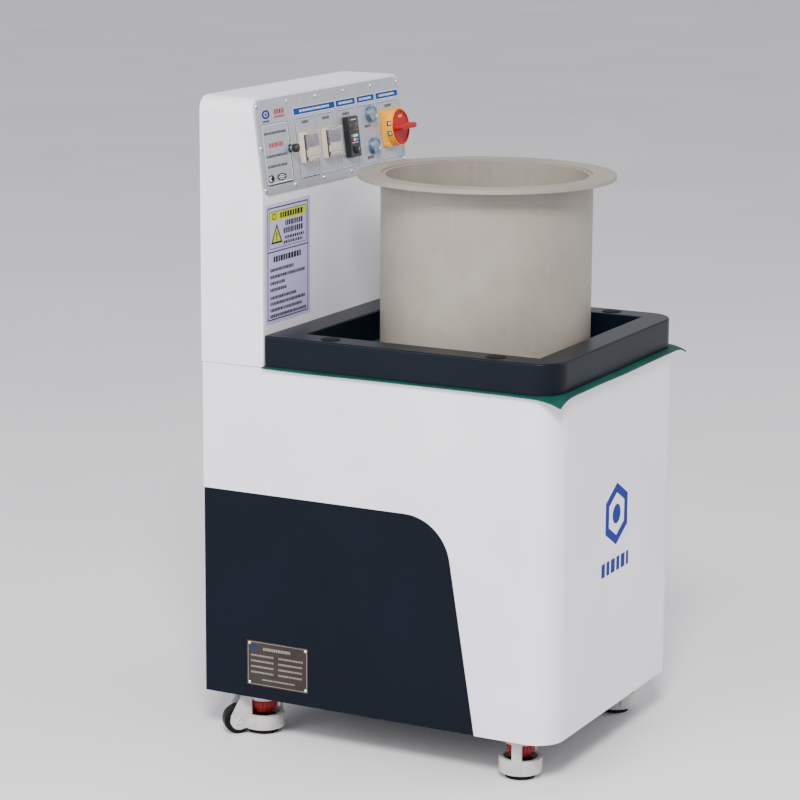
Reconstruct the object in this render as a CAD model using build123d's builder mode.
"""Magnetic drum polisher: a cabinet on levelling casters, a control tower and a lift-off tub.

+X is the operator's right, +Y points from the operator's end to the control tower, +Z is up.
The origin is the centre of the bounding box on the floor, under the cabinet's middle.
"""
import os
from math import atan2, cos, hypot, radians, sin, sqrt

from build123d import *

os.makedirs("parts", exist_ok=True)

# ---------------------------------------------------------------- driving dimensions (mm)
# tub: a pipe with a welded floor and a flat flange round its mouth
tub_diameter = 359.0
tub_wall = 8.0
tub_height = 315.3
tub_floor_thickness = 10.0
tub_flange_width = 39.0
tub_flange_thickness = 8.0
tub_lip = 3.0                     # the pipe ends this far below the flange's top
tub_flange_chamfer = 0.8

# guard rail round the tub's foot
tub_side_gap = 31.5
tub_front_gap = 18.7
tub_rear_gap = 50.7
rail_bar = 50.0
rail_rear_bar = 56.0
rail_height = 52.0
rail_wall = 3.0
rail_stand_out = 1.0              # past each side of the cabinet
rail_setback = 5.0                # behind the cabinet's front
rail_corner_radius = 50.0
rail_rear_radius = 8.0
rail_edge_radius = 3.0
plug_diameter = 34.0
plug_neck_wall = 2.0
plug_neck = 8.0
plug_dome = 1.6
plug_dome_radius = 1.2
plug_end_margin = 115.2           # from the rail's ends to the middle of a plug

# cabinet sheet metal
cabinet_top = 660.0
skirt_bottom = 78.0
corner_radius = 48.0
sheet = 2.0
rear_bend = 3.0
side_panel_top = 441.0
side_panel_front_top = 130.0      # where the slanted edge meets the top line, ahead of the middle
side_panel_front_bottom = 190.0   # the same edge at the skirt
side_panel_radius = 85.0
panel_lap = 12.0
rear_panel_side_margin = 12.0
rear_panel_foot = 8.0
rear_panel_head = 10.0
rear_panel_radius = 8.0
vent_length = 100.0
vent_width = 5.0
vent_pitch_x = 130.0
vent_pitch_z = 14.0
vent_rows = 7
vent_above_skirt = 132.0
vent_below_top = 120.0

# frame, deck and mat
frame_tube = 30.0
frame_wall = 2.0
frame_bottom = 82.0
deck_thickness = 3.0
deck_cable_margin = 80.0          # from the cabinet's sides to the opening for cables
deck_cable_length = 70.6
mat_thickness = 3.0
mat_side_overhang = 8.0
mat_front_overhang = 10.0

# tower
tower_depth = 120.6
tower_height = 449.5
tower_lean = 21.0
slope_rise = 162.5                # height of the sloping face
tower_corner_radius = 24.0
tower_window_border = 18.0
cover_thickness = 2.0
tower_vent_length = 110.0
tower_vent_width = 4.0
tower_vent_pitch_x = 150.0
tower_vent_pitch_z = 12.0

# control panel and the controls along it
panel_side_margin = 4.0
panel_height = 158.0
panel_thickness = 2.0
panel_radius = 20.0
panel_border = 16.0
panel_sink = 2.0                  # the panel's middle below the sloping face's middle
panel_screw_margin = 6.0
panel_screw_rise = 70.0           # from the panel's middle to the upper and lower screws
panel_screw_columns = 6
fuse_share = -157.0 / 256         # places across the panel, as a share of its half width
timer_1_share = -98.0 / 256
timer_2_share = -20.0 / 256
keypad_share = 52.0 / 256
button_share = 136.0 / 256
fuse_rise = -8.93                 # heights on the panel, from its middle
timer_rise = -12.43
keypad_rise = -10.93
keypad_knob_rise = -34.93
start_rise = 20.57
stop_rise = -35.93
isolator_rise = -9.93
isolator_margin = 14.0

timer_width = 48.0
timer_height = 51.0
timer_depth = 9.3
timer_gasket = 1.9
timer_gasket_inset = 1.5
timer_lid = 3.4
timer_rear_depth = 62.0
timer_rear_inset = 2.5
timer_bezel_lap = 2.0
timer_ear = 3.0
timer_pin = 1.6

keypad_width = 35.0
keypad_height = 71.0
keypad_depth = 12.0
keypad_radius = 2.0
keypad_plug = 17.0
keypad_plug_height = 43.0
keypad_plug_depth = 10.0
keypad_knob_diameter = 12.5
keypad_knob_height = 6.0
keypad_spindle = 6.0
keypad_spindle_length = 5.0
keypad_knob_flutes = 12
keypad_flute_radius = 0.7

button_cap_diameter = 22.0
button_bezel_rim = 4.0
button_bezel_height = 9.0
button_cap_sink = 0.7
button_cap_height = 7.0
button_stem = 8.0
button_stem_length = 20.0
button_barrel_wall = 1.0
button_barrel_length = 18.0
button_block_width = 30.0
button_block_height = 36.0
button_block_depth = 34.0
button_well = 4.0                 # depth of the cap's bore below the panel's face
button_travel = 3.0
button_clearance = 0.15

isolator_width = 66.0
isolator_base = 8.0
isolator_base_radius = 4.0
isolator_drum_height = 21.0
isolator_rim = 1.7
isolator_recess = 5.0
isolator_disc_proud = 0.7
isolator_grip_margin = 1.3
isolator_grip_width = 12.0
isolator_grip_height = 17.0
isolator_grip_draft = 4.0
isolator_block_width = 52.0
isolator_block_height = 58.0
isolator_block_depth = 48.0
spindle_diameter = 8.0
spindle_length = 22.0             # behind the panel's face

fuse_cap_diameter = 15.0
fuse_cap_height = 9.0
fuse_cap_flutes = 16
fuse_flute_radius = 0.5
fuse_flange_diameter = 14.0
fuse_flange_height = 1.2
fuse_neck = 8.0
fuse_neck_diameter = 10.0
fuse_barrel_diameter = 12.0
fuse_barrel_length = 36.0
fuse_diameter = 5.2
fuse_length = 28.0

inverter_width = 120.0
inverter_height = 180.0
inverter_depth = 82.0
inverter_above_deck = 150.0

# motor and magnet disc
shaft_diameter = 30.0
shaft_running_clearance = 0.05
shaft_reach = 12.0                # from the fan cover's end to the shaft's end
motor_flange_diameter = 200.0
motor_flange_thickness = 12.0
motor_pilot = 130.0
motor_pilot_height = 4.0
motor_pilot_clearance = 0.1
motor_bolt_circle = 165.0
motor_neck_length = 40.0
motor_diameter = 160.0
motor_fin = 10.0
motor_fin_thickness = 2.5
motor_fin_count = 36
motor_fin_foot = 30.0
motor_fin_length = 160.0
motor_length = 240.0
rotor_core_diameter = 90.0
rotor_core_foot = 50.0
rotor_core_length = 130.0
rotor_core_gap = 5.0
fan_cover_length = 80.0
fan_cover_lap = 20.0
fan_cover_wall = 6.0
fan_cover_radius = 8.0
fan_diameter = 140.0
fan_hub_diameter = 48.0
fan_height = 34.0
fan_plate = 4.0
fan_blade_thickness = 3.0
fan_blade_count = 8
fan_foot = 8.0
fan_blade = 48.0
terminal_box_width = 100.0
terminal_box_height = 90.0
terminal_box_depth = 46.0
terminal_box_below = 95.0
terminal_foot_width = 60.0
terminal_foot_height = 50.0
motor_plate_thickness = 10.0
motor_plate_length = 300.0
hub_height = 30.0
hub_clearance = 6.0
hub_flange_diameter = 110.0
hub_flange_thickness = 9.0
hub_bolt_circle = 84.0
hub_bolt = 6.6
disc_inset = 9.5                  # the disc's edge inside the tub's outside
disc_thickness = 12.0
disc_centre_hole = 16.0
disc_chamfer = 1.5
disc_gap = 11.0
magnet_diameter = 38.0
magnet_height = 18.0
magnet_edge = 6.0
magnet_ring_step = 1.6            # between the rings, in magnet diameters

# levelling casters
caster_inset_x = 62.0
caster_inset_y = 83.0
caster_plate = 80.0
caster_plate_thickness = 6.0
caster_plate_radius = 6.0
caster_pad_margin = 4.0
caster_hole_pitch_x = 44.0
caster_hole_pitch_y = 60.0
wheel_diameter = 50.0
wheel_width = 22.0
wheel_radius = 2.5                # rounding of the tread's edges
wheel_lift = 0.5
wheel_to_pin = 23.0
pad_diameter = 51.0
pad_height = 9.0
pad_edge = 1.5
foot_body_diameter = 42.0
foot_body_height = 20.0
stem_diameter = 14.0
stem_proud = 4.0
ring_diameter = 73.0
ring_wall = 8.0
ring_bottom = 10.0
ring_top = 35.0
dial_diameter = 48.0
dial_bottom = 46.0
dial_height = 12.0
dial_hub_diameter = 38.0
dial_hub_height = 8.0
dial_flutes = 20
dial_flute_radius = 1.8
fork_top = 75.5
fork_top_low = 64.0
fork_top_diameter = 57.0
fork_strap = 17.0
fork_strap_thickness = 6.0
fork_bore = 7.0
king_pin = 12.0
cheek = 5.0
cheek_clearance = 1.5
axle_diameter = 8.0
axle_boss = 16.0
axle_proud = 1.0

# plates, gland and fasteners
nameplate_width = 120.0
nameplate_height = 80.0
nameplate_thickness = 1.0
nameplate_behind_middle = 184.8
nameplate_above_floor = 141.0
rivet_inset = 5.0
rivet_diameter = 6.0
rivet_height = 0.9
gland_stand_out = 18.0
gland_hole = 20.0
gland_bore = 12.0
gland_hexagon = 14.0              # corner radius
gland_hexagon_thickness = 6.0
gland_nose_diameter = 25.0
gland_nose_radius = 3.0
gland_tail = 8.0
gland_x = 150.0
gland_z = 140.0
bolt_size = 8.0
bolt_play = 0.5
bolt_head = 5.5
bolt_head_across = 7.5            # corner radius of the hexagon head
sunk_head = 4.0
screw_size = 4.0
screw_play = 0.25
screw_head = 2.2
panel_screw_length = 7.0
screw_edge = 20.0                 # from the cabinet's sides to the rear panel's screws
tower_screw_edge = 11.0
gap = 0.3                         # between pieces that move past each other

# ---------------------------------------------------------------- sizes worked out
rail_width = tub_diameter + 2 * (tub_side_gap + rail_bar)
cabinet_width = rail_width - 2 * rail_stand_out
cabinet_length = (
    rail_setback + rail_bar + tub_front_gap + tub_diameter + tub_rear_gap + rail_rear_bar + tower_depth
)
half_width = cabinet_width / 2
cabinet_rear = (mat_front_overhang + cabinet_length - gland_stand_out) / 2
cabinet_front = cabinet_rear - cabinet_length
mid_y = (cabinet_front + cabinet_rear) / 2

mat_top = cabinet_top + mat_thickness
rail_front = cabinet_front + rail_setback
rail_top = mat_top + rail_height
tower_front = cabinet_rear - tower_depth
tower_top = cabinet_top + tower_height
opening_front = rail_front + rail_bar
opening_rear = tower_front - rail_rear_bar
opening_half = rail_width / 2 - rail_bar
opening_mid = (opening_front + opening_rear) / 2
tub_y = opening_front + tub_front_gap + tub_diameter / 2
tub_top = mat_top + tub_height
tub_flange_diameter = tub_diameter + 2 * tub_flange_width
rail_bolt_points = [
    (side * (rail_width - rail_bar) / 2, y)
    for side in (-1, 1)
    for y in (rail_front + plug_end_margin, tower_front - plug_end_margin)
]

panel_width = cabinet_width - 2 * panel_side_margin
panel_foot = tower_height - slope_rise   # the sloping face's lower edge above the cabinet
slope_foot = cabinet_top + panel_foot
slope_length = hypot(slope_rise, tower_lean)
slope_angle = atan2(tower_lean, slope_rise)
slope_normal = (0, -cos(slope_angle), sin(slope_angle))
slope = Plane(origin=(0, tower_front, slope_foot), x_dir=(1, 0, 0), z_dir=slope_normal)
face = slope.offset(panel_thickness)     # front of the control panel
panel_mid = slope_length / 2 - panel_sink
panel_half = panel_width / 2
panel_screw_reach = panel_half - panel_screw_margin
panel_screw_points = [
    (panel_screw_reach * (2 * column / (panel_screw_columns - 1) - 1), panel_mid + rise)
    for rise in (-panel_screw_rise, panel_screw_rise)
    for column in range(panel_screw_columns)
]
panel_screw_points += [(side * panel_screw_reach, panel_mid) for side in (-1, 1)]

fuse_point = (fuse_share * panel_half, panel_mid + fuse_rise)
timer_points = {
    "timer_1": (timer_1_share * panel_half, panel_mid + timer_rise),
    "timer_2": (timer_2_share * panel_half, panel_mid + timer_rise),
}
keypad_point = (keypad_share * panel_half, panel_mid + keypad_rise)
keypad_knob_point = (keypad_share * panel_half, panel_mid + keypad_knob_rise)
button_points = {
    "start_button": (button_share * panel_half, panel_mid + start_rise),
    "stop_button": (button_share * panel_half, panel_mid + stop_rise),
}
isolator_point = (panel_half - isolator_margin - isolator_width / 2, panel_mid + isolator_rise)
button_bezel_diameter = button_cap_diameter + 2 * button_bezel_rim
isolator_disc_diameter = isolator_width - 2 * isolator_rim
isolator_grip_length = isolator_disc_diameter - 2 * isolator_grip_margin
timer_cutout = timer_width - 2 * timer_bezel_lap

vent_heights = (skirt_bottom + vent_above_skirt, cabinet_top - vent_below_top)
gland_point = (gland_x, gland_z)
rear_panel_screw_points = [
    (side * (half_width - screw_edge), z)
    for side in (-1, 1)
    for z in (skirt_bottom + 24, (skirt_bottom + cabinet_top) / 2, cabinet_top - 26)
]
tower_screw_points = [
    (side * (half_width - tower_screw_edge), z)
    for side in (-1, 1)
    for z in (cabinet_top + 16, cabinet_top + tower_height / 2, tower_top - 34)
]
nameplate_plane = Plane(
    origin=(-(half_width - sheet), mid_y + nameplate_behind_middle, nameplate_above_floor),
    x_dir=(0, -1, 0),
    z_dir=(-1, 0, 0),
)

frame_half = half_width - 2 * sheet
inner_corner = corner_radius - sheet
corner_reach = sqrt(inner_corner**2 - (frame_half - (half_width - corner_radius)) ** 2)
frame_front = cabinet_front + corner_radius - corner_reach + 0.5
frame_rear = cabinet_rear - 2 * sheet
frame_top = cabinet_top - deck_thickness
frame_mid = (frame_front + frame_rear) / 2
frame_length = frame_rear - frame_front

disc_diameter = tub_diameter - 2 * disc_inset
magnet_top = frame_top - disc_gap
disc_top = magnet_top - magnet_height
disc_bottom = disc_top - disc_thickness
hub_bottom = disc_bottom - hub_height
motor_plate_top = hub_bottom - hub_clearance
motor_top = motor_plate_top - motor_plate_thickness
motor_bottom = motor_top - motor_length
shaft_bottom = motor_bottom - fan_cover_length + shaft_reach

caster_trail = wheel_diameter / 2 + wheel_to_pin
cheek_inner = wheel_width / 2 + cheek_clearance
wheel_z = wheel_diameter / 2 + wheel_lift
caster_x = half_width - caster_inset_x
caster_y = cabinet_length / 2 - caster_inset_y
caster_points = {                        # place on the frame, and the wheel's heading in degrees
    "rear_left": (-caster_x, mid_y + caster_y, 135.0),
    "front_left": (-caster_x, mid_y - caster_y, 14.5),
    "front_right": (caster_x, mid_y - caster_y, 55.0),
    "rear_right": (caster_x, mid_y + caster_y, 160.0),
}


def save(builder, name):
    """Label a finished piece and write it to its own STEP file."""
    builder.part.label = name
    export_step(builder.part, f"parts/{name}.step")


def cabinet_outline(inset, rear_radius):
    """The cabinet's plan: large radii at the front corners, tight bends at the rear."""
    with BuildSketch() as outline:
        with Locations((0, mid_y)):
            Rectangle(cabinet_width - 2 * inset, cabinet_length - 2 * inset)
        fillet(outline.vertices().sort_by(Axis.Y)[:2], corner_radius - inset)
        if rear_radius > 0:
            fillet(outline.vertices().sort_by(Axis.Y)[-2:], rear_radius)
    return outline.sketch


def side_profile(grow):
    """The coloured side panel's outline, looking along X, grown by a lap where asked."""
    rear = cabinet_rear + (1 if grow == 0 else -sheet)
    with BuildSketch() as outline:
        with BuildLine():
            Polyline(
                (rear, skirt_bottom),
                (rear, side_panel_top + grow),
                (mid_y - side_panel_front_top - grow, side_panel_top + grow),
                (mid_y - side_panel_front_bottom - grow, skirt_bottom),
                close=True,
            )
        make_face()
        front_top = outline.vertices().group_by(Axis.Y)[-1].sort_by(Axis.X)[0]
        fillet(front_top, side_panel_radius + grow)
    return outline.sketch


# ---------------------------------------------------------------- cabinet sheet metal
def build_cabinet_shell():
    outside = cabinet_outline(0, rear_bend)
    inside = cabinet_outline(sheet, 0)
    window = side_profile(0)
    with BuildPart() as shell:
        with BuildSketch(Plane.XY.offset(skirt_bottom)):
            add(outside)
        extrude(amount=cabinet_top - skirt_bottom)
        with BuildSketch(Plane.XY.offset(skirt_bottom)):
            add(inside)
        extrude(amount=cabinet_top - skirt_bottom, mode=Mode.SUBTRACT)
        # the rear is open between two narrow return flanges
        with BuildSketch(Plane.XZ.offset(-cabinet_rear + 2 * sheet)):
            with Locations((0, (cabinet_top + skirt_bottom) / 2)):
                Rectangle(cabinet_width - 2 * frame_tube, cabinet_top - skirt_bottom)
        extrude(amount=-4 * sheet, mode=Mode.SUBTRACT)
        # the window for the coloured panels, through both sides and the rear flanges
        with BuildSketch(Plane.YZ):
            add(window)
        extrude(amount=cabinet_width, both=True, mode=Mode.SUBTRACT)
        with BuildSketch(Plane.XZ.offset(-cabinet_rear)):
            with Locations(*rear_panel_screw_points):
                Circle(screw_size / 2)
        extrude(amount=sheet, mode=Mode.SUBTRACT)
    save(shell, "cabinet_shell")


def build_side_panel(name, side):
    """A panel behind the window, with a flange turned across the rear."""
    outline = side_profile(panel_lap)
    with BuildPart() as panel:
        with BuildSketch(Plane.YZ.offset(side * (half_width - 2 * sheet))):
            add(outline)
        extrude(amount=side * sheet)
        with BuildSketch(Plane.XY.offset(skirt_bottom)):
            with Locations((side * (half_width - sheet - frame_tube / 2), cabinet_rear - 1.5 * sheet)):
                Rectangle(frame_tube, sheet)
        extrude(amount=side_panel_top - skirt_bottom)
        with BuildSketch(Plane.XZ.offset(-cabinet_rear)):
            with Locations(*rear_panel_screw_points):
                Circle(screw_size / 2)
        extrude(amount=3 * sheet, mode=Mode.SUBTRACT)
    save(panel, name)


def build_rear_panel():
    """Flat cover with two banks of vent slots and the cable gland's hole."""
    low = skirt_bottom + rear_panel_foot
    high = cabinet_top - rear_panel_head
    with BuildPart() as panel:
        with BuildSketch(Plane.XZ.offset(-cabinet_rear)):
            with Locations((0, (low + high) / 2)):
                RectangleRounded(cabinet_width - 2 * rear_panel_side_margin, high - low, rear_panel_radius)
        extrude(amount=-cover_thickness)
        with BuildSketch(Plane.XZ.offset(-cabinet_rear)):
            for bank_z in vent_heights:
                with Locations((0, bank_z)):
                    with GridLocations(vent_pitch_x, vent_pitch_z, 2, vent_rows):
                        SlotOverall(vent_length, vent_width)
            with Locations(gland_point):
                Circle(gland_hole / 2)
            with Locations(*rear_panel_screw_points):
                Circle(screw_size / 2 + screw_play)
        extrude(amount=-cover_thickness, mode=Mode.SUBTRACT)
    save(panel, "rear_panel")


# ---------------------------------------------------------------- welded frame
def frame_ring(wall):
    """One ring of the frame in plan; with a wall, the hollow inside its tubes."""
    outer_x = 2 * (frame_half - wall)
    outer_y = frame_length - 2 * wall
    tube = frame_tube - 2 * wall
    with BuildSketch() as ring:
        with Locations((0, frame_mid)):
            Rectangle(outer_x, outer_y)
            Rectangle(outer_x - 2 * tube, outer_y - 2 * tube, mode=Mode.SUBTRACT)
    return ring.sketch


def frame_tubes(wall):
    """All the frame's tubes; with a wall, the hollows inside them."""
    tube = frame_tube - 2 * wall
    centre_x = 2 * frame_half - frame_tube
    centre_y = frame_length - frame_tube
    ring = frame_ring(wall)
    with BuildPart() as tubes:
        for level in (frame_bottom, frame_top - frame_tube):
            with BuildSketch(Plane.XY.offset(level + wall)):
                add(ring)
            extrude(amount=tube)
        with BuildSketch(Plane.XY.offset(frame_bottom + wall)):
            with Locations((0, frame_mid)):
                with GridLocations(centre_x, centre_y, 2, 2):
                    Rectangle(tube, tube)
        extrude(amount=frame_top - frame_bottom - 2 * wall)
        # side rails under the motor plate
        with BuildSketch(Plane.XY.offset(motor_top - frame_tube + wall)):
            with Locations((0, frame_mid)):
                with GridLocations(centre_x, 1, 2, 1):
                    Rectangle(tube, centre_y)
        extrude(amount=tube)
        # the bar across the top ring that carries the foot of the tower
        with BuildSketch(Plane.XY.offset(frame_top - frame_tube + wall)):
            with Locations((0, tower_front + frame_tube / 2)):
                Rectangle(centre_x, tube)
        extrude(amount=tube)
    return tubes.part


def build_frame():
    """Square-tube chassis: two rings, four posts and the rails that carry the motor plate."""
    outside = frame_tubes(0)
    hollow = frame_tubes(frame_wall)
    with BuildPart() as frame:
        add(outside)
        add(hollow, mode=Mode.SUBTRACT)
        # pads for the casters
        with BuildSketch(Plane.XY.offset(frame_bottom)):
            for x, y, _ in caster_points.values():
                with Locations((x, y)):
                    Rectangle(caster_plate + 2 * caster_pad_margin, caster_plate + 2 * caster_pad_margin)
        extrude(amount=caster_plate_thickness)
        with BuildSketch(Plane.XY.offset(frame_bottom)):
            for x, y, _ in caster_points.values():
                with Locations((x, y)):
                    with GridLocations(caster_hole_pitch_x, caster_hole_pitch_y, 2, 2):
                        Circle(bolt_size / 2)
        extrude(amount=caster_plate_thickness, mode=Mode.SUBTRACT)
        with BuildSketch(Plane.XY.offset(frame_top - frame_tube)):
            with Locations(*rail_bolt_points):
                Circle(bolt_size / 2)
        extrude(amount=frame_tube, mode=Mode.SUBTRACT)
    save(frame, "frame")


def build_deck_plate():
    """Non-magnetic plate under the mat, with the cable opening below the tower."""
    outline = cabinet_outline(sheet + gap, 0)
    with BuildPart() as deck:
        with BuildSketch(Plane.XY.offset(frame_top)):
            add(outline)
            with Locations(*rail_bolt_points):
                Circle(bolt_size / 2 + bolt_play, mode=Mode.SUBTRACT)
            with Locations((0, tower_front + tower_depth / 2)):
                deck_cable_width = cabinet_width - 2 * deck_cable_margin
                RectangleRounded(deck_cable_width, deck_cable_length, 10, mode=Mode.SUBTRACT)
        extrude(amount=deck_thickness)
    save(deck, "deck_plate")


def build_mat():
    """Rubber mat laid over the deck, past the cabinet's front and sides."""
    front = cabinet_front - mat_front_overhang
    rear = tower_front - gap
    with BuildPart() as mat:
        with BuildSketch(Plane.XY.offset(cabinet_top)):
            with Locations((0, (front + rear) / 2)):
                Rectangle(cabinet_width + 2 * mat_side_overhang, rear - front)
            with Locations(*rail_bolt_points):
                Circle(bolt_size / 2 + bolt_play, mode=Mode.SUBTRACT)
        extrude(amount=mat_thickness)
    save(mat, "mat")


# ---------------------------------------------------------------- guard rail
def rail_outline(inset):
    """The rail's plan between its outer edge and the opening, drawn in by a wall where asked."""
    length = tower_front - gap - rail_front
    with BuildSketch() as outline:
        with Locations((0, rail_front + length / 2)):
            Rectangle(rail_width - 2 * inset, length - 2 * inset)
        fillet(outline.vertices().sort_by(Axis.Y)[:2], rail_corner_radius - inset)
        fillet(outline.vertices().sort_by(Axis.Y)[-2:], rail_rear_radius - inset)
        with Locations((0, opening_mid)):
            Rectangle(
                2 * (opening_half + inset),
                opening_rear - opening_front + 2 * inset,
                mode=Mode.SUBTRACT,
            )
    return outline.sketch


def build_guard_rail():
    """Rectangular tube bent and welded into a ring, with a hole over each bolt."""
    outside = rail_outline(0)
    inside = rail_outline(rail_wall)
    with BuildPart() as rail:
        with BuildSketch(Plane.XY.offset(mat_top)):
            add(outside)
        extrude(amount=rail_height)
        fillet(rail.faces().sort_by(Axis.Z)[-1].edges(), rail_edge_radius)
        with BuildSketch(Plane.XY.offset(mat_top + rail_wall)):
            add(inside)
        extrude(amount=rail_height - 2 * rail_wall, mode=Mode.SUBTRACT)
        with BuildSketch(Plane.XY.offset(rail_top - rail_wall)):
            with Locations(*rail_bolt_points):
                Circle(plug_diameter / 2 - plug_neck_wall)
        extrude(amount=rail_wall, mode=Mode.SUBTRACT)
        with BuildSketch(Plane.XY.offset(mat_top)):
            with Locations(*rail_bolt_points):
                Circle(bolt_size / 2 + bolt_play)
        extrude(amount=rail_wall, mode=Mode.SUBTRACT)
    save(rail, "guard_rail")


def build_rail_plugs():
    """Domed plugs pressed into the rail's access holes."""
    with BuildPart() as plugs:
        with BuildSketch(Plane.XY.offset(rail_top)):
            with Locations(*rail_bolt_points):
                Circle(plug_diameter / 2)
        extrude(amount=plug_dome)
        fillet(plugs.faces().group_by(Axis.Z)[-1].edges(), plug_dome_radius)
        with BuildSketch(Plane.XY.offset(rail_top)):
            with Locations(*rail_bolt_points):
                Circle(plug_diameter / 2 - plug_neck_wall)
        extrude(amount=-plug_neck)
    save(plugs, "rail_plugs")


# ---------------------------------------------------------------- motor and magnet disc
def build_motor_plate():
    """Cross plate that carries the motor, over the frame's side rails."""
    with BuildPart() as plate:
        with BuildSketch(Plane.XY.offset(motor_top)):
            with Locations((0, opening_mid)):
                Rectangle(2 * frame_half - 2, motor_plate_length)
                Circle(motor_pilot / 2, mode=Mode.SUBTRACT)
                with PolarLocations(motor_bolt_circle / 2, 4, 45):
                    Circle(bolt_size / 2 + bolt_play, mode=Mode.SUBTRACT)
        extrude(amount=motor_plate_thickness)
    save(plate, "motor_plate")


def build_motor_body():
    """Flanged, finned housing, bored for the rotor."""
    cavity_low = motor_bottom + rotor_core_foot - rotor_core_gap
    cavity_length = rotor_core_length + 2 * rotor_core_gap
    with BuildPart() as body:
        with BuildSketch(Plane.XY.offset(motor_bottom)):
            with Locations((0, opening_mid)):
                Circle(motor_diameter / 2)
        extrude(amount=motor_length - motor_neck_length)
        with BuildSketch(Plane.XY.offset(motor_top - motor_neck_length)):
            with Locations((0, opening_mid)):
                Circle(motor_bolt_circle / 2 - bolt_head_across - 2 * bolt_play - 1)
        extrude(amount=motor_neck_length)
        with BuildSketch(Plane.XY.offset(motor_top)):
            with Locations((0, opening_mid)):
                Circle(motor_pilot / 2 - motor_pilot_clearance)
        extrude(amount=motor_pilot_height)
        with BuildSketch(Plane.XY.offset(motor_top - motor_flange_thickness)):
            with Locations((0, opening_mid)):
                Circle(motor_flange_diameter / 2)
        extrude(amount=motor_flange_thickness)
        with BuildSketch(Plane.XY.offset(motor_bottom + motor_fin_foot)):
            with Locations((0, opening_mid)):
                with PolarLocations(motor_diameter / 2 + motor_fin / 2 - 1, motor_fin_count, 5):
                    Rectangle(motor_fin + 2, motor_fin_thickness)
        extrude(amount=motor_fin_length)
        with BuildSketch(Plane.XY.offset(motor_top - motor_flange_thickness)):
            with Locations((0, opening_mid)):
                with PolarLocations(motor_bolt_circle / 2, 4, 45):
                    Circle(bolt_size / 2)
        extrude(amount=motor_flange_thickness, mode=Mode.SUBTRACT)
        with BuildSketch(Plane.XY.offset(motor_bottom)):
            with Locations((0, opening_mid)):
                Circle(shaft_diameter / 2 + shaft_running_clearance)
        extrude(amount=motor_length + motor_pilot_height, mode=Mode.SUBTRACT)
        with BuildSketch(Plane.XY.offset(cavity_low)):
            with Locations((0, opening_mid)):
                Circle(rotor_core_diameter / 2 + 1)
        extrude(amount=cavity_length, mode=Mode.SUBTRACT)
    save(body, "motor_body")


def build_fan_cover():
    """Pressed cowl over the motor's fan, with an air grille in its end."""
    low = motor_bottom - fan_cover_length
    radius = motor_diameter / 2 + fan_cover_wall
    with BuildPart() as cover:
        with BuildSketch(Plane.XY.offset(low)):
            with Locations((0, opening_mid)):
                Circle(radius)
        extrude(amount=fan_cover_length + fan_cover_lap)
        fillet(cover.faces().sort_by(Axis.Z)[0].edges(), fan_cover_radius)
        with BuildSketch(Plane.XY.offset(low + sheet)):
            with Locations((0, opening_mid)):
                Circle(motor_diameter / 2)
        extrude(amount=fan_cover_length + fan_cover_lap, mode=Mode.SUBTRACT)
        with BuildSketch(Plane.XY.offset(low)):
            for ring_radius, count in ((26, 6), (48, 12)):
                with Locations((0, opening_mid)):
                    with PolarLocations(ring_radius, count):
                        Circle(5.5)
        extrude(amount=sheet, mode=Mode.SUBTRACT)
    save(cover, "motor_fan_cover")


def build_terminal_box():
    """Cast box on the side of the motor, with its lid."""
    near = opening_mid + motor_diameter / 2 + motor_fin + 1
    with BuildPart() as box:
        with BuildSketch(Plane.XZ.offset(-near)):
            with Locations((0, motor_top - terminal_box_below)):
                RectangleRounded(terminal_box_width, terminal_box_height, 8)
        extrude(amount=-terminal_box_depth)
        fillet(box.faces().sort_by(Axis.Y)[-1].edges(), 4)
        with BuildSketch(Plane.XZ.offset(-near)):
            with Locations((0, motor_top - terminal_box_below)):
                Rectangle(terminal_foot_width, terminal_foot_height)
        extrude(amount=12)
        with BuildSketch(Plane.XY.offset(motor_bottom)):
            with Locations((0, opening_mid)):
                Circle(motor_diameter / 2 + motor_fin + 0.5)
        extrude(amount=motor_length, mode=Mode.SUBTRACT)
    save(box, "terminal_box")


def build_rotor_shaft():
    """Motor shaft with the rotor's laminated core."""
    with BuildPart() as shaft:
        with BuildSketch(Plane.XY.offset(shaft_bottom)):
            with Locations((0, opening_mid)):
                Circle(shaft_diameter / 2)
        extrude(amount=disc_bottom - shaft_bottom)
        with BuildSketch(Plane.XY.offset(motor_bottom + rotor_core_foot)):
            with Locations((0, opening_mid)):
                Circle(rotor_core_diameter / 2)
        extrude(amount=rotor_core_length)
        chamfer(shaft.faces().sort_by(Axis.Z)[0].edges(), 1)
    save(shaft, "rotor_shaft")


def build_motor_fan():
    """Fan on the shaft's lower end."""
    with BuildPart() as fan:
        with BuildSketch(Plane.XY.offset(shaft_bottom + fan_foot)):
            with Locations((0, opening_mid)):
                Circle(fan_hub_diameter / 2)
        extrude(amount=fan_height)
        with BuildSketch(Plane.XY.offset(shaft_bottom + fan_foot + fan_height - fan_plate)):
            with Locations((0, opening_mid)):
                Circle(fan_diameter / 2)
        extrude(amount=fan_plate)
        with BuildSketch(Plane.XY.offset(shaft_bottom + fan_foot)):
            with Locations((0, opening_mid)):
                with PolarLocations((fan_hub_diameter + fan_blade) / 2 - 3, fan_blade_count):
                    Rectangle(fan_blade, fan_blade_thickness)
        extrude(amount=fan_height - fan_plate / 2)
        with BuildSketch(Plane.XY.offset(shaft_bottom)):
            with Locations((0, opening_mid)):
                Circle(shaft_diameter / 2)
        extrude(amount=fan_foot + fan_height, mode=Mode.SUBTRACT)
    save(fan, "motor_fan")


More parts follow.
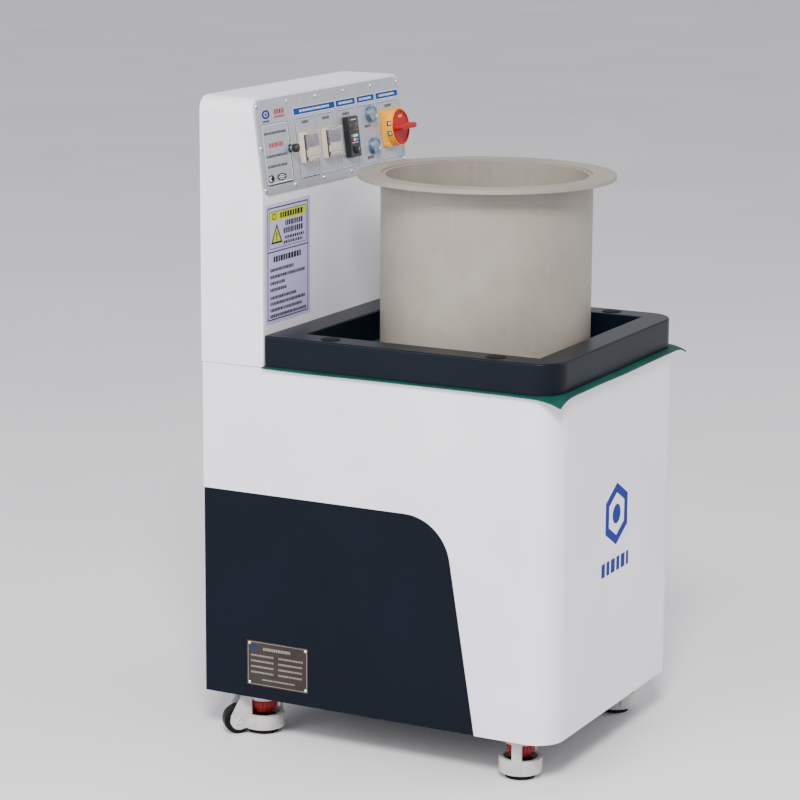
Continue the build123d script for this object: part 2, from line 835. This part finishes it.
def build_disc_hub():
    """Boss that clamps the disc to the shaft."""
    with BuildPart() as hub:
        with BuildSketch(Plane.XY.offset(hub_bottom)):
            with Locations((0, opening_mid)):
                Circle(shaft_diameter)
        extrude(amount=disc_bottom - hub_bottom)
        with BuildSketch(Plane.XY.offset(disc_bottom - hub_flange_thickness)):
            with Locations((0, opening_mid)):
                Circle(hub_flange_diameter / 2)
        extrude(amount=hub_flange_thickness)
        with BuildSketch(Plane.XY.offset(hub_bottom)):
            with Locations((0, opening_mid)):
                Circle(shaft_diameter / 2)
        extrude(amount=disc_bottom - hub_bottom, mode=Mode.SUBTRACT)
    save(hub, "disc_hub")


def build_magnet_disc():
    """Alloy disc bolted on the hub."""
    with BuildPart() as disc:
        with BuildSketch(Plane.XY.offset(disc_bottom)):
            with Locations((0, opening_mid)):
                Circle(disc_diameter / 2)
                Circle(disc_centre_hole / 2, mode=Mode.SUBTRACT)
                with PolarLocations(hub_bolt_circle / 2, 4):
                    Circle(hub_bolt / 2, mode=Mode.SUBTRACT)
        extrude(amount=disc_thickness)
        chamfer(disc.faces().sort_by(Axis.Z)[-1].edges().sort_by(SortBy.LENGTH)[-1], disc_chamfer)
    save(disc, "magnet_disc")


def build_magnets():
    """Round magnets in two rings on the disc."""
    outer_ring = disc_diameter / 2 - magnet_diameter / 2 - magnet_edge
    with BuildPart() as magnets:
        with BuildSketch(Plane.XY.offset(disc_top)):
            with Locations((0, opening_mid)):
                with PolarLocations(outer_ring, 12):
                    Circle(magnet_diameter / 2)
                with PolarLocations(outer_ring - magnet_ring_step * magnet_diameter, 6):
                    Circle(magnet_diameter / 2)
        extrude(amount=magnet_height)
        chamfer(magnets.faces().group_by(Axis.Z)[-1].edges(), 1)
    save(magnets, "magnets")


# ---------------------------------------------------------------- control tower
def tower_profile(inset):
    """The tower's side view, drawn in by the sheet where asked."""
    top = tower_top - inset
    shift = inset / cos(slope_angle)
    lean_at_top = (top - slope_foot) * tower_lean / slope_rise
    return [
        (tower_front + inset, cabinet_top),
        (tower_front + inset, slope_foot),
        (tower_front + shift + lean_at_top, top),
        (cabinet_rear, top),
        (cabinet_rear, cabinet_top),
    ]


def tower_block(inset):
    """A solid of the tower's shape with its rounded top corners, drawn in where asked."""
    with BuildPart() as block:
        with BuildSketch(Plane.YZ):
            with BuildLine():
                Polyline(*tower_profile(inset), close=True)
            make_face()
        extrude(amount=half_width - inset, both=True)
        crown = block.edges().filter_by(Axis.Y).group_by(Axis.Z)[-1]
        fillet(crown, tower_corner_radius - inset)
    return block.part


def build_tower_shell():
    """Folded tower: rounded top corners, open below and behind, windowed for the controls."""
    outside = tower_block(0)
    hollow = tower_block(sheet)
    with BuildPart() as shell:
        add(outside)
        add(hollow, mode=Mode.SUBTRACT)
        # return flange round the rear opening
        with BuildSketch(Plane.XZ.offset(-cabinet_rear)):
            with Locations((0, cabinet_top + (tower_height - 1) / 2)):
                Rectangle(cabinet_width - 2, tower_height - 1)
            fillet(vertices().group_by(Axis.Y)[-1], tower_corner_radius - 1)
            with Locations((0, cabinet_top + tower_height / 2)):
                RectangleRounded(
                    cabinet_width - 2 * tower_window_border,
                    tower_height - 2 * tower_window_border,
                    tower_corner_radius / 2,
                    mode=Mode.SUBTRACT,
                )
        extrude(amount=sheet)
        # window behind the control panel
        with BuildSketch(slope.offset(1)):
            with Locations((0, panel_mid)):
                RectangleRounded(panel_width - 2 * panel_border, panel_height - 2 * panel_border, 8)
        extrude(amount=-2 * sheet - 2, mode=Mode.SUBTRACT)
        with BuildSketch(slope.offset(1)):
            with Locations(*panel_screw_points):
                Circle(screw_size / 2)
        extrude(amount=-2 * sheet - 2, mode=Mode.SUBTRACT)
        with BuildSketch(Plane.XZ.offset(-cabinet_rear)):
            with Locations(*tower_screw_points):
                Circle(screw_size / 2)
        extrude(amount=sheet, mode=Mode.SUBTRACT)
    save(shell, "tower_shell")


def build_tower_rear_cover():
    """Flat cover behind the tower, vented along its top."""
    with BuildPart() as cover:
        with BuildSketch(Plane.XZ.offset(-cabinet_rear)):
            with Locations((0, cabinet_top + tower_height / 2)):
                RectangleRounded(cabinet_width - 8, tower_height - 10, tower_corner_radius - 4)
            with Locations(*tower_screw_points):
                Circle(screw_size / 2 + screw_play, mode=Mode.SUBTRACT)
            with Locations((0, tower_top - 60)):
                with GridLocations(tower_vent_pitch_x, tower_vent_pitch_z, 3, 5):
                    SlotOverall(tower_vent_length, tower_vent_width, mode=Mode.SUBTRACT)
        extrude(amount=-cover_thickness)
    save(cover, "tower_rear_cover")


# ---------------------------------------------------------------- controls on the panel
def build_control_panel():
    """Engraved plate with a cut-out for each control."""
    with BuildPart() as panel:
        with BuildSketch(slope):
            with Locations((0, panel_mid)):
                RectangleRounded(panel_width, panel_height, panel_radius)
            with Locations(*panel_screw_points):
                Circle(screw_size / 2 + screw_play, mode=Mode.SUBTRACT)
            with Locations(*timer_points.values()):
                Rectangle(timer_cutout, timer_cutout, mode=Mode.SUBTRACT)
            with Locations(*button_points.values()):
                Circle(button_cap_diameter / 2 + button_barrel_wall + 0.2, mode=Mode.SUBTRACT)
            with Locations(isolator_point):
                Circle(spindle_diameter, mode=Mode.SUBTRACT)
            with Locations(fuse_point):
                Circle(fuse_barrel_diameter / 2 + 0.2, mode=Mode.SUBTRACT)
            with Locations(keypad_point):
                Rectangle(keypad_plug + 1, keypad_plug_height + 1, mode=Mode.SUBTRACT)
        extrude(amount=panel_thickness)
    save(panel, "control_panel")


def timer_hinge(name):
    """Plane across the timer at its lid's hinge line."""
    x, v = timer_points[name]
    hinge_v = v + timer_height / 2 - timer_lid / 2
    hinge_h = timer_depth + timer_gasket + gap + timer_lid / 2
    return Plane(origin=face.from_local_coords((x, hinge_v, hinge_h)), x_dir=(0, 1, 0), z_dir=(1, 0, 0))


def build_timer_bodies():
    """Two panel timers: front case, gasket, hinge ears and the case behind the panel."""
    ear_points = [
        (x + side * (timer_width - timer_ear) / 2, v + (timer_height - timer_lid) / 2)
        for x, v in timer_points.values()
        for side in (-1, 1)
    ]
    with BuildPart() as bodies:
        with BuildSketch(face):
            with Locations(*timer_points.values()):
                Rectangle(timer_width, timer_height)
        extrude(amount=timer_depth)
        with BuildSketch(face.offset(timer_depth)):
            with Locations(*timer_points.values()):
                Rectangle(timer_width - 2 * timer_gasket_inset, timer_height - 2 * timer_gasket_inset)
        extrude(amount=timer_gasket)
        with BuildSketch(face.offset(timer_depth)):
            with Locations(*ear_points):
                Rectangle(timer_ear, timer_lid)
        extrude(amount=timer_gasket + gap + timer_lid)
        with BuildSketch(face):
            with Locations(*timer_points.values()):
                Rectangle(timer_width - 2 * timer_rear_inset, timer_width - 2 * timer_rear_inset)
        extrude(amount=-timer_rear_depth)
        with BuildSketch(timer_hinge("timer_1")):
            Circle(timer_pin / 2 + shaft_running_clearance)
        extrude(amount=timer_width / 2, both=True, mode=Mode.SUBTRACT)
        with BuildSketch(timer_hinge("timer_2")):
            Circle(timer_pin / 2 + shaft_running_clearance)
        extrude(amount=timer_width / 2, both=True, mode=Mode.SUBTRACT)
    save(bodies, "timer_bodies")


def build_timer_cover(name):
    """Clear lid, hinged along its top edge on two stub pins."""
    x, v = timer_points[name]
    low_v = v - timer_height / 2
    hinge_v = v + timer_height / 2 - timer_lid / 2
    base_h = timer_depth + timer_gasket + gap
    lid_width = timer_width - 2 * timer_ear - 2 * gap
    with BuildPart() as lid:
        with BuildSketch(face.offset(base_h)):
            with Locations((x, (low_v + hinge_v) / 2)):
                Rectangle(lid_width, hinge_v - low_v)
        extrude(amount=timer_lid)
        with BuildSketch(timer_hinge(name)):
            Circle(timer_lid / 2)
        extrude(amount=lid_width / 2, both=True)
        with BuildSketch(timer_hinge(name)):
            Circle(timer_pin / 2)
        extrude(amount=timer_width / 2, both=True)
    save(lid, f"{name}_cover")


def build_keypad():
    """Drive keypad standing on the panel."""
    with BuildPart() as keypad:
        with BuildSketch(face):
            with Locations(keypad_point):
                RectangleRounded(keypad_width, keypad_height, keypad_radius)
        extrude(amount=keypad_depth)
        with BuildSketch(face):
            with Locations(keypad_point):
                Rectangle(keypad_plug, keypad_plug_height)
        extrude(amount=-keypad_plug_depth)
        with BuildSketch(face.offset(keypad_depth)):
            with Locations(keypad_knob_point):
                Circle(keypad_spindle / 2 + shaft_running_clearance)
        extrude(amount=-(keypad_spindle_length + 1), mode=Mode.SUBTRACT)
    save(keypad, "keypad")


def build_keypad_knob():
    """Speed knob on its short spindle."""
    with BuildPart() as knob:
        with BuildSketch(face.offset(keypad_depth + gap)):
            with Locations(keypad_knob_point):
                Circle(keypad_knob_diameter / 2)
                with PolarLocations(keypad_knob_diameter / 2, keypad_knob_flutes):
                    Circle(keypad_flute_radius, mode=Mode.SUBTRACT)
        extrude(amount=keypad_knob_height)
        with BuildSketch(face.offset(keypad_depth + gap)):
            with Locations(keypad_knob_point):
                Circle(keypad_spindle / 2)
        extrude(amount=-keypad_spindle_length)
    save(knob, "keypad_knob")


def build_button_bodies():
    """Two identical bezels, each with its threaded barrel and contact block."""
    bore = button_cap_diameter / 2 + button_clearance
    with BuildPart() as bodies:
        with BuildSketch(face):
            with Locations(*button_points.values()):
                Circle(button_bezel_diameter / 2)
        extrude(amount=button_bezel_height)
        with BuildSketch(face):
            with Locations(*button_points.values()):
                Circle(button_cap_diameter / 2 + button_barrel_wall)
        extrude(amount=-button_barrel_length)
        with BuildSketch(face.offset(-button_barrel_length)):
            with Locations(*button_points.values()):
                Rectangle(button_block_width, button_block_height)
        extrude(amount=-button_block_depth)
        with BuildSketch(face.offset(button_bezel_height)):
            with Locations(*button_points.values()):
                Circle(bore)
        extrude(amount=-(button_bezel_height + button_well), mode=Mode.SUBTRACT)
        with BuildSketch(face):
            with Locations(*button_points.values()):
                Circle(button_stem / 2 + button_clearance)
        extrude(amount=-(button_stem_length + button_travel + 1), mode=Mode.SUBTRACT)
    save(bodies, "button_bodies")


def build_button_cap(name):
    """Push cap on its stem."""
    cap_top = button_bezel_height - button_cap_sink
    with BuildPart() as cap:
        with BuildSketch(face.offset(cap_top)):
            with Locations(button_points[name]):
                Circle(button_cap_diameter / 2)
        extrude(amount=-button_cap_height)
        with BuildSketch(face.offset(cap_top)):
            with Locations(button_points[name]):
                Circle(button_stem / 2)
        extrude(amount=-(cap_top + button_stem_length))
    save(cap, name)


def build_isolator_housing():
    """Square base and round drum, recessed for the handle's disc."""
    with BuildPart() as housing:
        with BuildSketch(face):
            with Locations(isolator_point):
                RectangleRounded(isolator_width, isolator_width, isolator_base_radius)
        extrude(amount=isolator_base)
        with BuildSketch(face.offset(isolator_base)):
            with Locations(isolator_point):
                Circle(isolator_width / 2)
        extrude(amount=isolator_drum_height - isolator_base)
        with BuildSketch(face.offset(isolator_drum_height)):
            with Locations(isolator_point):
                Circle(isolator_disc_diameter / 2 + gap)
        extrude(amount=-isolator_recess, mode=Mode.SUBTRACT)
        with BuildSketch(face):
            with Locations(isolator_point):
                Circle(spindle_diameter / 2 + shaft_running_clearance)
        extrude(amount=isolator_drum_height, mode=Mode.SUBTRACT)
    save(housing, "isolator_housing")


def build_isolator_knob():
    """Disc with a straight grip across it and the spindle behind."""
    disc_low = isolator_drum_height - isolator_recess + gap
    disc_high = isolator_drum_height + isolator_disc_proud
    with BuildPart() as knob:
        with BuildSketch(face.offset(disc_low)):
            with Locations(isolator_point):
                Circle(isolator_disc_diameter / 2)
        extrude(amount=disc_high - disc_low)
        with BuildSketch(face.offset(disc_high)):
            with Locations(isolator_point):
                SlotOverall(isolator_grip_length, isolator_grip_width)
        extrude(amount=isolator_grip_height, taper=isolator_grip_draft)
        with BuildSketch(face.offset(disc_low)):
            with Locations(isolator_point):
                Circle(spindle_diameter / 2)
        extrude(amount=-(disc_low + spindle_length))
    save(knob, "isolator_knob")


def build_isolator_switch():
    """Switch block behind the panel."""
    with BuildPart() as block:
        with BuildSketch(slope):
            with Locations(isolator_point):
                RectangleRounded(isolator_block_width, isolator_block_height, 3)
        extrude(amount=-isolator_block_depth)
        with BuildSketch(slope):
            with Locations(isolator_point):
                Circle(spindle_diameter / 2 + shaft_running_clearance)
        extrude(amount=-(spindle_length + 2), mode=Mode.SUBTRACT)
    save(block, "isolator_switch")


def build_fuse_holder():
    """Fuse socket: flange, neck and barrel."""
    with BuildPart() as holder:
        with BuildSketch(face):
            with Locations(fuse_point):
                Circle(fuse_flange_diameter / 2)
        extrude(amount=fuse_flange_height)
        with BuildSketch(face):
            with Locations(fuse_point):
                Circle(fuse_neck_diameter / 2)
        extrude(amount=fuse_neck)
        with BuildSketch(face):
            with Locations(fuse_point):
                Circle(fuse_barrel_diameter / 2)
        extrude(amount=-fuse_barrel_length)
        with BuildSketch(face.offset(fuse_neck)):
            with Locations(fuse_point):
                Circle(fuse_diameter / 2 + shaft_running_clearance)
        extrude(amount=-(fuse_length + 2), mode=Mode.SUBTRACT)
    save(holder, "fuse_holder")


def build_fuse_cap():
    """Knurled cap that carries the fuse."""
    with BuildPart() as cap:
        with BuildSketch(face.offset(fuse_neck + gap)):
            with Locations(fuse_point):
                Circle(fuse_cap_diameter / 2)
                with PolarLocations(fuse_cap_diameter / 2, fuse_cap_flutes):
                    Circle(fuse_flute_radius, mode=Mode.SUBTRACT)
        extrude(amount=fuse_cap_height)
        with BuildSketch(face.offset(fuse_neck + gap)):
            with Locations(fuse_point):
                Circle(fuse_diameter / 2)
        extrude(amount=-fuse_length)
    save(cap, "fuse_cap")


def build_inverter():
    """Frequency drive fixed to the inside of the tower's rear cover."""
    with BuildPart() as drive:
        with BuildSketch(Plane.XZ.offset(-cabinet_rear)):
            with Locations((0, cabinet_top + inverter_above_deck)):
                RectangleRounded(inverter_width, inverter_height, 5)
        extrude(amount=inverter_depth)
        fillet(drive.faces().sort_by(Axis.Y)[0].edges(), 3)
    save(drive, "inverter")


def build_cover_screws():
    """Domed M4 screws of the control panel, the rear panel and the tower's rear cover."""
    rear_points = rear_panel_screw_points + tower_screw_points
    rear_face = Plane.XZ.offset(-cabinet_rear - cover_thickness)
    with BuildPart() as screws:
        with BuildSketch(face):
            with Locations(*panel_screw_points):
                Circle(screw_size)
        extrude(amount=screw_head)
        with BuildSketch(face):
            with Locations(*panel_screw_points):
                Circle(screw_size / 2)
        extrude(amount=-panel_screw_length)
        with BuildSketch(rear_face):
            with Locations(*rear_points):
                Circle(screw_size)
        extrude(amount=-screw_head)
        with BuildSketch(rear_face):
            with Locations(*rear_points):
                Circle(screw_size / 2)
        extrude(amount=cover_thickness + sheet)
        with BuildSketch(rear_face):
            with Locations(*rear_panel_screw_points):
                Circle(screw_size / 2)
        extrude(amount=cover_thickness + 2 * sheet)
    save(screws, "cover_screws")


# ---------------------------------------------------------------- plates on the side, gland on the rear
def build_nameplate():
    """Thin metal plate on the left side panel."""
    with BuildPart() as plate:
        with BuildSketch(nameplate_plane):
            RectangleRounded(nameplate_width, nameplate_height, 1)
        extrude(amount=nameplate_thickness)
    save(plate, "nameplate")


def build_nameplate_rivets():
    """Four rivets in the plate's corners."""
    with BuildPart() as rivets:
        with BuildSketch(nameplate_plane.offset(nameplate_thickness)):
            with GridLocations(nameplate_width - 2 * rivet_inset, nameplate_height - 2 * rivet_inset, 2, 2):
                Circle(rivet_diameter / 2)
        extrude(amount=rivet_height)
    save(rivets, "nameplate_rivets")


def build_cable_gland():
    """Hexagon gland and clamping nut on the rear panel."""
    outer = gland_stand_out - cover_thickness
    with BuildPart() as gland:
        with BuildSketch(Plane.XZ.offset(-cabinet_rear - cover_thickness)):
            with Locations(gland_point):
                RegularPolygon(gland_hexagon, 6)
        extrude(amount=-gland_hexagon_thickness)
        with BuildSketch(Plane.XZ.offset(-cabinet_rear - cover_thickness - gland_hexagon_thickness)):
            with Locations(gland_point):
                Circle(gland_nose_diameter / 2)
        extrude(amount=-(outer - gland_hexagon_thickness))
        fillet(gland.faces().sort_by(Axis.Y)[-1].edges(), gland_nose_radius)
        with BuildSketch(Plane.XZ.offset(-cabinet_rear - cover_thickness)):
            with Locations(gland_point):
                Circle(gland_hole / 2)
        extrude(amount=cover_thickness + gland_tail)
        with BuildSketch(Plane.XZ.offset(-cabinet_rear + gland_tail)):
            with Locations(gland_point):
                Circle(gland_bore / 2)
        extrude(amount=-(gland_stand_out + gland_tail), mode=Mode.SUBTRACT)
    save(gland, "cable_gland")


# ---------------------------------------------------------------- tub
def build_tub_shell():
    """Thick plastic pipe."""
    with BuildPart() as pipe:
        with BuildSketch(Plane.XY.offset(mat_top)):
            with Locations((0, tub_y)):
                Circle(tub_diameter / 2)
                Circle(tub_diameter / 2 - tub_wall, mode=Mode.SUBTRACT)
        extrude(amount=tub_height - tub_lip)
    save(pipe, "tub_shell")


def build_tub_floor():
    """Welded floor disc."""
    with BuildPart() as floor:
        with BuildSketch(Plane.XY.offset(mat_top)):
            with Locations((0, tub_y)):
                Circle(tub_diameter / 2 - tub_wall)
        extrude(amount=tub_floor_thickness)
    save(floor, "tub_floor")


def build_tub_flange():
    """Flat ring welded round the pipe's mouth."""
    with BuildPart() as ring:
        with BuildSketch(Plane.XY.offset(tub_top - tub_flange_thickness)):
            with Locations((0, tub_y)):
                Circle(tub_flange_diameter / 2)
                Circle(tub_diameter / 2, mode=Mode.SUBTRACT)
        extrude(amount=tub_flange_thickness)
        chamfer(ring.edges().filter_by(GeomType.CIRCLE).sort_by(SortBy.RADIUS)[-2:], tub_flange_chamfer)
    save(ring, "tub_flange")


# ---------------------------------------------------------------- levelling casters
def caster_plane(place):
    """A floor-level plane on the caster's swivel axis, its X along the trailing wheel."""
    x, y, heading = caster_points[place]
    turn = radians(heading)
    return Plane(origin=(x, y, 0), x_dir=(cos(turn), sin(turn), 0), z_dir=(0, 0, 1))


def caster_axle_plane(base):
    """A plane across the axle at the wheel's middle, its X along the trail and its Y upwards."""
    wheel_centre = base.from_local_coords((caster_trail, 0, wheel_z))
    return Plane(origin=wheel_centre, x_dir=base.x_dir, z_dir=-base.y_dir)


def build_caster_plates():
    """Top plates with their king pins."""
    plate_low = frame_bottom - caster_plate_thickness
    with BuildPart() as plates:
        for x, y, _ in caster_points.values():
            with BuildSketch(Plane.XY.offset(plate_low)):
                with Locations((x, y)):
                    RectangleRounded(caster_plate, caster_plate, caster_plate_radius)
                    with GridLocations(caster_hole_pitch_x, caster_hole_pitch_y, 2, 2):
                        Circle(bolt_size / 2 + bolt_play, mode=Mode.SUBTRACT)
            extrude(amount=caster_plate_thickness)
            with BuildSketch(Plane.XY.offset(plate_low)):
                with Locations((x, y)):
                    with GridLocations(caster_hole_pitch_x, caster_hole_pitch_y, 2, 2):
                        Circle(bolt_head_across + gap)
            extrude(amount=sunk_head, mode=Mode.SUBTRACT)
            with BuildSketch(Plane.XY.offset(plate_low)):
                with Locations((x, y)):
                    Circle(king_pin / 2)
            extrude(amount=-(fork_bore - gap))
    save(plates, "caster_plates")


def build_caster_fork(place):
    """Cast housing: top, front strap, open ring, two cheeks and the wheel's axle."""
    base = caster_plane(place)
    ring_radius = ring_diameter / 2
    cheek_root = ring_radius - ring_wall - 4.5
    cheek_knee = caster_trail - cheek_clearance * 4
    strap_x = fork_strap_thickness / 2 - ring_radius - 0.5
    strap_low = ring_bottom + 6
    cheek_points = [
        (cheek_root + 2, fork_top),
        (cheek_knee, fork_top),
        (caster_trail + axle_boss - 0.5, wheel_z + axle_boss / 2),
        (caster_trail, wheel_z - axle_boss + 2),
        (cheek_root, ring_bottom + 2),
        (cheek_root, ring_top),
        (cheek_root + 2, ring_top),
    ]
    axle_plane = caster_axle_plane(base)
    with BuildPart() as fork:
        with BuildSketch(base.offset(fork_top_low)):
            Circle(fork_top_diameter / 2)
            with Locations((cheek_knee / 2, 0)):
                Rectangle(cheek_knee, 2 * (cheek_inner + cheek))
        extrude(amount=fork_top - fork_top_low)
        with BuildSketch(base.offset(ring_bottom)):
            Circle(ring_radius)
            Circle(ring_radius - ring_wall, mode=Mode.SUBTRACT)
            with Locations((ring_radius, 0)):
                Rectangle(ring_diameter, 2 * cheek_inner, mode=Mode.SUBTRACT)
        extrude(amount=ring_top - ring_bottom)
        with BuildSketch(base.offset(strap_low)):
            with Locations((strap_x - 0.5, 0)):
                Rectangle(fork_strap_thickness, fork_strap)
        extrude(amount=fork_top - 1 - strap_low)
        with BuildSketch(base.offset(fork_top_low)):
            with Locations((-ring_radius / 2 - 6, 0)):
                Rectangle(ring_radius - 6, fork_strap)
        extrude(amount=fork_top - 1 - fork_top_low)
        for side in (-1, 1):
            with BuildSketch(axle_plane.offset(side * (cheek_inner + cheek / 2))):
                with BuildLine():
                    Polyline(*[(x - caster_trail, z - wheel_z) for x, z in cheek_points], close=True)
                make_face()
                Circle(axle_boss)
            extrude(amount=cheek / 2, both=True)
        with BuildSketch(axle_plane):
            Circle(axle_diameter / 2)
        extrude(amount=cheek_inner + cheek + axle_proud, both=True)
        with BuildSketch(base.offset(fork_top)):
            Circle(king_pin / 2 + shaft_running_clearance)
        extrude(amount=-fork_bore, mode=Mode.SUBTRACT)
    save(fork, f"caster_{place}_fork")


def build_caster_wheel(place):
    """Solid wheel bored for its axle."""
    axle_plane = caster_axle_plane(caster_plane(place))
    with BuildPart() as wheel:
        with BuildSketch(axle_plane):
            Circle(wheel_diameter / 2)
        extrude(amount=wheel_width / 2, both=True)
        fillet(wheel.edges().filter_by(GeomType.CIRCLE), wheel_radius)
        with BuildSketch(axle_plane):
            Circle(axle_diameter / 2 + shaft_running_clearance)
        extrude(amount=wheel_width, both=True, mode=Mode.SUBTRACT)
    save(wheel, f"caster_{place}_wheel")


def build_caster_dial(place):
    """Knurled adjusting wheel that turns on the foot's stem."""
    base = caster_plane(place)
    with BuildPart() as dial:
        with BuildSketch(base.offset(dial_bottom)):
            Circle(dial_diameter / 2)
            with PolarLocations(dial_diameter / 2 + 0.5, dial_flutes):
                Circle(dial_flute_radius, mode=Mode.SUBTRACT)
        extrude(amount=dial_height)
        with BuildSketch(base.offset(dial_bottom - dial_hub_height)):
            Circle(dial_hub_diameter / 2)
        extrude(amount=dial_hub_height)
        with BuildSketch(base.offset(dial_bottom - dial_hub_height)):
            Circle(stem_diameter / 2 + shaft_running_clearance)
        extrude(amount=dial_height + dial_hub_height, mode=Mode.SUBTRACT)
    save(dial, f"caster_{place}_dial")


def build_caster_foot(place):
    """Levelling foot: tread pad, body and screw stem."""
    base = caster_plane(place)
    with BuildPart() as foot:
        with BuildSketch(base):
            Circle(pad_diameter / 2)
        extrude(amount=pad_height)
        fillet(foot.faces().sort_by(Axis.Z)[-1].edges(), pad_edge)
        with BuildSketch(base.offset(pad_height)):
            Circle(foot_body_diameter / 2)
        extrude(amount=foot_body_height)
        with BuildSketch(base.offset(pad_height)):
            Circle(stem_diameter / 2)
        extrude(amount=dial_bottom + dial_height + stem_proud - pad_height)
    save(foot, f"caster_{place}_foot")


# ---------------------------------------------------------------- bolts
def build_frame_bolts():
    """M8 hexagon bolts: rail to frame, motor to its plate, casters to the frame."""
    with BuildPart() as bolts:
        with BuildSketch(Plane.XY.offset(mat_top + rail_wall)):
            with Locations(*rail_bolt_points):
                RegularPolygon(bolt_head_across, 6)
        extrude(amount=bolt_head)
        with BuildSketch(Plane.XY.offset(mat_top + rail_wall)):
            with Locations(*rail_bolt_points):
                Circle(bolt_size / 2)
        extrude(amount=-(rail_wall + mat_thickness + deck_thickness + frame_tube))
        with BuildSketch(Plane.XY.offset(motor_top - motor_flange_thickness)):
            with Locations((0, opening_mid)):
                with PolarLocations(motor_bolt_circle / 2, 4, 45):
                    RegularPolygon(bolt_head_across, 6)
        extrude(amount=-bolt_head)
        with BuildSketch(Plane.XY.offset(motor_top - motor_flange_thickness)):
            with Locations((0, opening_mid)):
                with PolarLocations(motor_bolt_circle / 2, 4, 45):
                    Circle(bolt_size / 2)
        extrude(amount=motor_flange_thickness + motor_plate_thickness)
        for x, y, _ in caster_points.values():
            with BuildSketch(Plane.XY.offset(frame_bottom - caster_plate_thickness)):
                with Locations((x, y)):
                    with GridLocations(caster_hole_pitch_x, caster_hole_pitch_y, 2, 2):
                        RegularPolygon(bolt_head_across, 6)
            extrude(amount=sunk_head)
            with BuildSketch(Plane.XY.offset(frame_bottom - caster_plate_thickness)):
                with Locations((x, y)):
                    with GridLocations(caster_hole_pitch_x, caster_hole_pitch_y, 2, 2):
                        Circle(bolt_size / 2)
            extrude(amount=2 * caster_plate_thickness)
    save(bolts, "frame_bolts")


build_cabinet_shell()
build_side_panel("side_panel_left", -1)
build_side_panel("side_panel_right", 1)
build_rear_panel()
build_frame()
build_deck_plate()
build_mat()
build_guard_rail()
build_rail_plugs()
build_motor_plate()
build_motor_body()
build_fan_cover()
build_terminal_box()
build_rotor_shaft()
build_motor_fan()
build_disc_hub()
build_magnet_disc()
build_magnets()
build_tower_shell()
build_tower_rear_cover()
build_control_panel()
build_timer_bodies()
for timer in timer_points:
    build_timer_cover(timer)
build_keypad()
build_keypad_knob()
build_button_bodies()
for button in button_points:
    build_button_cap(button)
build_isolator_housing()
build_isolator_knob()
build_isolator_switch()
build_fuse_holder()
build_fuse_cap()
build_inverter()
build_cover_screws()
build_nameplate()
build_nameplate_rivets()
build_cable_gland()
build_tub_shell()
build_tub_floor()
build_tub_flange()
build_caster_plates()
for place in caster_points:
    build_caster_fork(place)
    build_caster_wheel(place)
    build_caster_dial(place)
    build_caster_foot(place)
build_frame_bolts()
